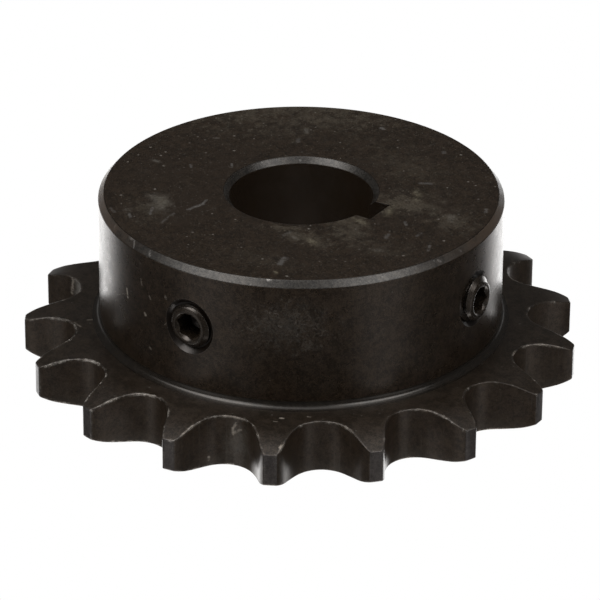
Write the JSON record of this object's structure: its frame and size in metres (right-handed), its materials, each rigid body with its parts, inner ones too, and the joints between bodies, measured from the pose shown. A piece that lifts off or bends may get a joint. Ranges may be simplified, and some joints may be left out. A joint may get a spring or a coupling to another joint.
{
  "type": "chain sprocket",
  "caption": "Roller-chain sprocket with a hub on one side, a finished bore with a keyway, and socket set screws in the hub wall.",
  "frame": {"origin": "on the bore's axis, in the middle plane of the teeth, where the chain runs", "axes": "+Z along the bore, towards the hub end; +X through the middle of the keyway and of one tooth; the second set screw is on -Y"},
  "size_m": [0.0738, 0.0742, 0.0254],
  "materials": {
    "black_oxide_steel": "machined steel with a black oxide finish, a little dusty and scuffed",
    "set_screw_steel": "alloy steel with a black oxide finish"
  },
  "bodies": {
    "root": {"sprocket": "black_oxide_steel", "set_screw_over_keyway": "set_screw_steel", "set_screw_side": "set_screw_steel"}
  },
  "joints": []
}
